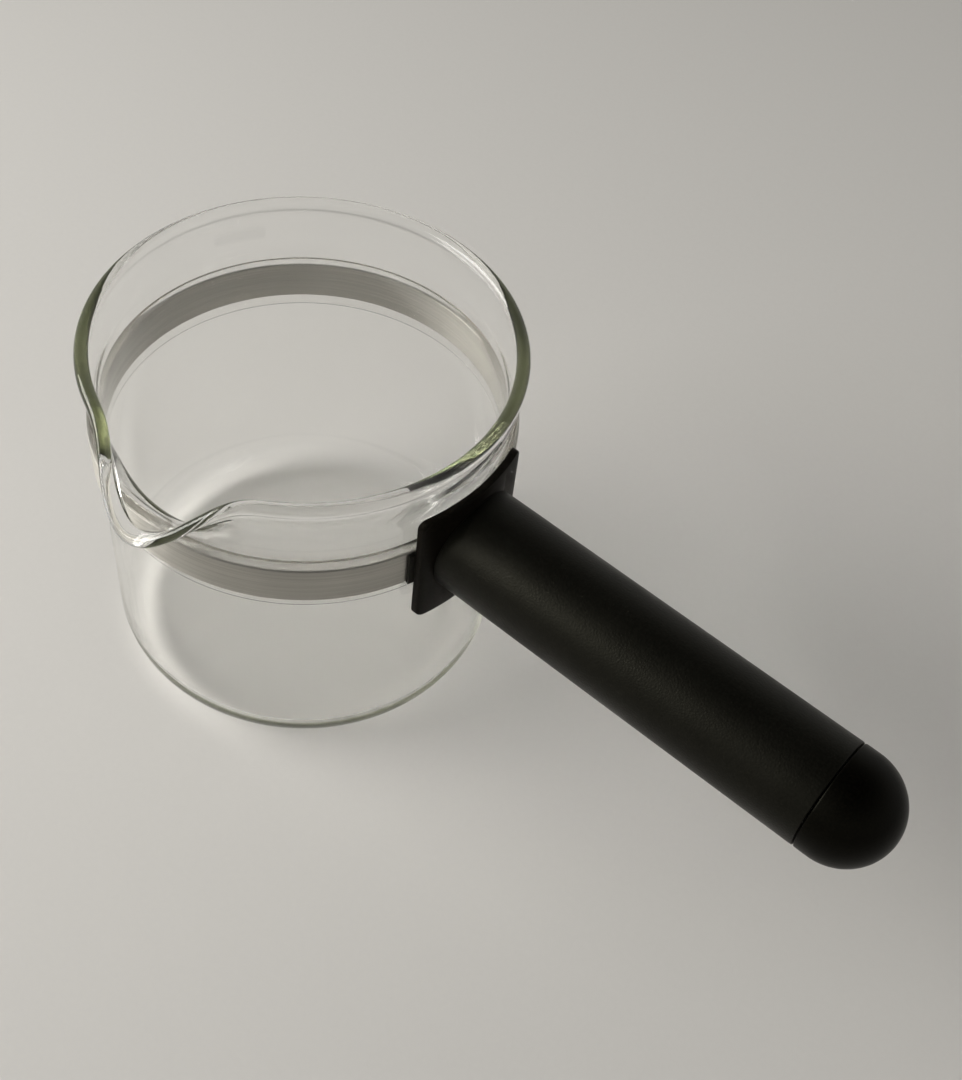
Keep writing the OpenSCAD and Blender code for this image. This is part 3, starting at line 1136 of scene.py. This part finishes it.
@dataclass
class Saddle:
    """Curved plate between the band and the grip, with a spigot that centres the grip."""

    thickness: float = 1.7 * MM
    corner: float = 2.0 * MM
    edge_round: float = 0.35 * MM
    spigot_gap: float = 0.2 * MM
    spigot_steps: int = 96
    bore: float = 8.7 * MM
    cut_depth: float = 68.0 * MM
    corner_steps: int = 8
    edge_steps: int = 4
    steps: int = 60

    def build(self) -> bpy.types.Object:
        """Press a round-cornered plate to the band's curve, add the spigot and cut the slot.

        Returns:
            The finished piece.
        """
        low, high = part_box("saddle")
        width, height = high.y - low.y, high.z - low.z
        mid_z = (low.z + high.z) / 2
        slot_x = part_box("grip")[0].x
        inner = math.hypot(low.x, high.y)
        bpy.ops.object.select_all(action="DESELECT")
        bpy.ops.mesh.primitive_cube_add(size=1, location=(self.thickness / 2, 0, mid_z))
        piece = bpy.context.object
        piece.name = piece.data.name = "saddle_plate"
        piece.scale = (self.thickness, width, height)
        bpy.ops.object.transform_apply(location=True, rotation=True, scale=True)
        Bench.edit(piece)
        self.round_edges(piece)
        self.divide(piece, width)
        Bench.settle(piece)
        Bench.move(piece, lambda points: self.press(points, inner))
        lathe = Lathe(Vector((0, 0, mid_z)), ALONG_GRIP, UPRIGHT)
        radius, near, end = self.bore - self.spigot_gap, inner + self.thickness / 2, high.x
        chamfer = self.edge_round
        outline = [(0.0, near), (radius, near), (radius, end - chamfer), (radius - chamfer, end), (0.0, end)]
        Bench.combine(piece, lathe.turn("spigot", outline, self.spigot_steps), "UNION")
        Bench.cut_box(piece, (slot_x, 0, mid_z), (self.cut_depth, EAR_SLOT_WIDTH, EAR_SLOT_HEIGHT))
        return piece

    def round_edges(self, piece: bpy.types.Object) -> None:
        """Round the plate's four corners, then the edges of both faces.

        Args:
            piece: Plate that is open in edit mode.
        """
        bpy.ops.mesh.select_mode(type="EDGE")
        mesh = bmesh.from_edit_mesh(piece.data)
        for edge in mesh.edges:
            span = edge.verts[0].co - edge.verts[1].co
            edge.select_set(abs(span.y) < MERGE and abs(span.z) < MERGE)
        bmesh.update_edit_mesh(piece.data)
        bpy.ops.mesh.bevel(
            offset=self.corner, offset_type="OFFSET", segments=self.corner_steps, affect="EDGES")
        bpy.ops.mesh.select_all(action="DESELECT")
        mesh = bmesh.from_edit_mesh(piece.data)
        for edge in mesh.edges:
            edge.select_set(abs(edge.verts[0].co.x - edge.verts[1].co.x) < MERGE)
        bmesh.update_edit_mesh(piece.data)
        bpy.ops.mesh.bevel(
            offset=self.edge_round, offset_type="OFFSET", segments=self.edge_steps, affect="EDGES")

    def divide(self, piece: bpy.types.Object, width: float) -> None:
        """Cut the flat plate into upright strips, so that it can follow the curve.

        Args:
            piece: Plate that is open in edit mode. Not used.
            width: Width of the plate.
        """
        for i in range(1, self.steps):
            bpy.ops.mesh.select_all(action="SELECT")
            place = (0, width * (i / self.steps - 0.5), 0)
            bpy.ops.mesh.bisect(plane_co=place, plane_no=(0, 1, 0), use_fill=False)

    @staticmethod
    def press(points: np.ndarray, inner: float) -> np.ndarray:
        """Press the flat plate to the curve.

        Args:
            points: Points of the plate, with their depth in x.
            inner: Radius of the hollow face.

        Returns:
            Their new places.
        """
        pressed = points.copy()
        pressed[:, 0] = np.sqrt((inner + points[:, 0]) ** 2 - points[:, 1] ** 2)
        return pressed


@dataclass
class Grip:
    """Hollow round grip, hollowed to sit on the saddle, with a seat for the washer in its closed end."""

    wall: float = 3.0 * MM
    edge_round: float = 0.3 * MM
    edge_steps: int = 5
    side_steps: int = 12
    bulkhead: float = 4.0 * MM
    seat_room: float = 0.3 * MM
    throat: float = 4.35 * MM
    steps: int = 192

    def build(self) -> bpy.types.Object:
        """Turn the grip and fit its end to the saddle's curve.

        Returns:
            The finished piece.
        """
        low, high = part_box("grip")
        mid_z, radius = (low.z + high.z) / 2, (high.z - low.z) / 2
        washer_low, washer_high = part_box("cap_washer")
        seat_r = (washer_high.z - washer_low.z) / 2 + self.seat_room
        seat_x = washer_low.x - self.seat_room
        start = math.hypot(low.x, radius)
        bore, near = radius - self.wall, self.edge_round
        length = high.x - start - 2 * near
        parts = [i / self.side_steps for i in range(1, self.side_steps)]
        outline = (
            [(bore, start), (radius - near / 2, start), (radius, start + near / 2)]
            + [(radius, start + near + length * part) for part in parts]
            + arc((radius - near, high.x - near), near, 0, 90, self.edge_steps)
            + [(seat_r, high.x), (seat_r, seat_x), (self.throat, seat_x)]
            + [(self.throat, seat_x - self.bulkhead), (bore, seat_x - self.bulkhead)]
        )
        lathe = Lathe(Vector((0, 0, mid_z)), ALONG_GRIP, UPRIGHT)
        piece = lathe.turn("grip_tube", outline, self.steps)
        Bench.move(piece, lambda points: self.fit_end(points, start))
        return piece

    @staticmethod
    def fit_end(points: np.ndarray, start: float) -> np.ndarray:
        """Draw the end ring of the grip back to the curve of the saddle.

        Args:
            points: Points of the turned grip.
            start: Radius of the curve, where the end was turned.

        Returns:
            Their new places.
        """
        fitted = points.copy()
        near = points[:, 0] < start + MM
        fitted[near, 0] += np.sqrt(start**2 - points[near, 1] ** 2) - start
        return fitted


@dataclass
class EndCap:
    """Domed cap that screws on the tie rod and pulls the band tight."""

    straight: float = 3.0 * MM
    edge_round: float = 0.3 * MM
    edge_steps: int = 5
    dome_steps: int = 48
    room: float = 0.05 * MM
    steps: int = 192

    def build(self) -> bpy.types.Object:
        """Turn the cap with its dome and the socket of its insert.

        Returns:
            The finished piece.
        """
        low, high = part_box("end_cap")
        insert_low, insert_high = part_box("cap_insert")
        mid_z, radius, near = (low.z + high.z) / 2, (high.z - low.z) / 2, self.edge_round
        socket = (insert_high.z - insert_low.z) / 2 + self.room
        deep = insert_high.x + self.room
        dome = low.x + self.straight
        outline = (
            [(0.0, deep), (socket, deep), (socket, low.x)]
            + arc((radius - near, low.x + near), near, -90, 0, self.edge_steps)
            + arc((0.0, dome), radius, 0, 90, self.dome_steps)
        )
        lathe = Lathe(Vector((0, 0, mid_z)), ALONG_GRIP, UPRIGHT)
        return lathe.turn("domed_cap", outline, self.steps)


class HiddenParts:
    """Tie rod, pin, insert and washer, which the model already shapes."""

    FINISHES: ClassVar[dict[str, Finish]] = {
        "tie_rod": Finish.ROD,
        "ear_pin": Finish.ROD,
        "cap_washer": Finish.ROD,
        "cap_insert": Finish.BRASS,
    }

    def dress(self, dresser: Dresser) -> None:
        """Give each of these nodes its finish.

        Args:
            dresser: Holds the finishes.
        """
        for node, finish in self.FINISHES.items():
            dresser.dress(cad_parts[node], finish)
            LOG.info("%s keeps its shape and gets %s", node, finish.name.lower())


# Studio


@dataclass(frozen=True)
class Window:
    """Soft lamp that faces the glass.

    Attributes:
        name: Name of the lamp.
        place: Where its middle hangs.
        width: Its level side.
        height: Its other side.
        spread: Angle in degrees that its light is held in.
        power: Power in watts.
    """

    name: str
    place: Vector
    width: float
    height: float
    spread: float
    power: float

    def hang(self, colour: Colour) -> None:
        """Hang the lamp, turned to the foot of the glass.

        Args:
            colour: Colour of its light.
        """
        lamp = bpy.data.lights.new(self.name, "AREA")
        lamp.shape, lamp.size, lamp.size_y = "RECTANGLE", self.width, self.height
        lamp.energy, lamp.color = self.power, colour
        lamp.spread = math.radians(self.spread)
        window = bpy.data.objects.new(self.name, lamp)
        window.location = self.place
        window.rotation_euler = (-self.place).to_track_quat("-Z", "Y").to_euler()
        bpy.context.scene.collection.objects.link(window)


@dataclass
class Studio:
    """Floor, light and camera."""

    floor_radius: float = 6.0
    floor_steps: int = 96
    floor_gap: float = 0.2 * MM
    floor_colour: Colour = (0.7, 0.685, 0.655)
    floor_shade: float = 0.97
    floor_cloud: float = 700.0
    floor_roughness: float = 0.9
    floor_gloss: float = 0.1
    window: Window = Window(
        "wide_window", Vector((-0.66, -0.52, 0.42)), width=0.85, height=0.5, spread=80.0, power=2.7)
    window_colour: Colour = (1.0, 0.985, 0.96)
    sky_low: Colour = (1.05, 1.035, 1.0)
    sky_near: Colour = (0.4, 0.395, 0.385)
    sky_far: Colour = (0.1, 0.1, 0.095)
    sky_turn: Point = (0.4, 1.0)
    sky_rise: Point = (0.45, 0.95)
    sky_strength: float = 0.5
    eye: Triple = (159.31 * MM, -160.23 * MM, 300.35 * MM)
    heading: float = 124.31
    dip: float = 50.76
    roll: float = 7.87
    lens: float = 49.86
    sensor: float = 36.0
    nearest: float = 10.0 * MM
    glass_bounces: int = 64

    def lay_floor(self) -> None:
        """Lay a plain pale floor, a wide disc with a faint unevenness."""
        bpy.ops.object.select_all(action="DESELECT")
        bpy.ops.mesh.primitive_circle_add(
            vertices=self.floor_steps, radius=self.floor_radius, fill_type="NGON", location=(0, 0, -self.floor_gap))
        floor = bpy.context.object
        floor.name = floor.data.name = "pale_floor"
        material, board, shader, _ = Board.new_material("pale_floor")
        place = board.add("TexCoord").outputs["Object"]
        cloud = board.add("TexNoise", {"Vector": place, "Scale": self.floor_cloud, "Detail": 3.0}).outputs["Fac"]
        deeper = tuple(self.floor_shade * part for part in self.floor_colour)
        board.feed(shader.inputs["Base Color"], board.blend(cloud, self.floor_colour, deeper))
        board.fill(shader, {"Roughness": self.floor_roughness, "Specular IOR Level": self.floor_gloss})
        floor.data.materials.append(material)

    def light(self) -> None:
        """Hang the soft window beside the glass, in a room with pale walls and a dark ceiling."""
        self.window.hang(self.window_colour)
        world = bpy.data.worlds.new("soft_sky")
        world.use_nodes = True
        bpy.context.scene.world = world
        board = Board(world.node_tree)
        toward = board.add("TexCoord").outputs["Generated"]
        facing = board.vector("DOT_PRODUCT", toward, self.window.place.normalized()).outputs["Value"]
        lit = board.remap(facing, *self.sky_turn)
        rise = board.add("SeparateXYZ", {"Vector": toward}).outputs["Z"]
        height = board.remap(rise, *self.sky_rise)
        upper = board.blend(lit, self.sky_far, self.sky_near)
        backdrop = world.node_tree.nodes["Background"]
        board.feed(backdrop.inputs["Color"], board.blend(height, self.sky_low, upper))
        backdrop.inputs["Strength"].default_value = self.sky_strength

    def set_camera(self) -> None:
        """Set the camera where the picture was taken from."""
        camera = bpy.data.cameras.new("camera")
        camera.lens, camera.sensor_width = self.lens, self.sensor
        camera.clip_start = self.nearest
        holder = bpy.data.objects.new("camera", camera)
        holder.location = self.eye
        holder.rotation_mode = "QUATERNION"
        upright = Quaternion((0, 0, 1), math.radians(self.heading - 90))
        tilted = Quaternion((1, 0, 0), math.radians(90 - self.dip))
        holder.rotation_quaternion = upright @ tilted @ Quaternion((0, 0, 1), math.radians(self.roll))
        bpy.context.scene.collection.objects.link(holder)
        bpy.context.scene.camera = holder
        bpy.context.scene.view_settings.view_transform = "Standard"
        paths = bpy.context.scene.cycles
        paths.max_bounces = paths.transmission_bounces = paths.glossy_bounces = self.glass_bounces
        paths.blur_glossy = 0.0


def main() -> None:
    """Build the pieces in order, dress them and set the studio."""
    logging.basicConfig(level=logging.INFO, format="%(name)s: %(message)s")
    dresser = Dresser()
    dresser.fit(Beaker().build(), Finish.GLASS, "glass_beaker", Body.VESSEL)
    dresser.fit(Sleeve().build(), Finish.SLEEVE, "clear_sleeve", Body.HANDLE)
    dresser.fit(ClampBand().build(), Finish.BAND, "clamp_band", Body.HANDLE)
    dresser.fit(Liner().build(), Finish.LINER, "band_liner", Body.HANDLE)
    dresser.fit(Saddle().build(), Finish.SADDLE, "saddle", Body.HANDLE)
    dresser.fit(Grip().build(), Finish.GRIP, "grip", Body.HANDLE)
    dresser.fit(EndCap().build(), Finish.CAP, "end_cap", Body.CAP)
    HiddenParts().dress(dresser)
    studio = Studio()
    studio.lay_floor()
    studio.light()
    studio.set_camera()


if __name__ == "__main__":
    main()
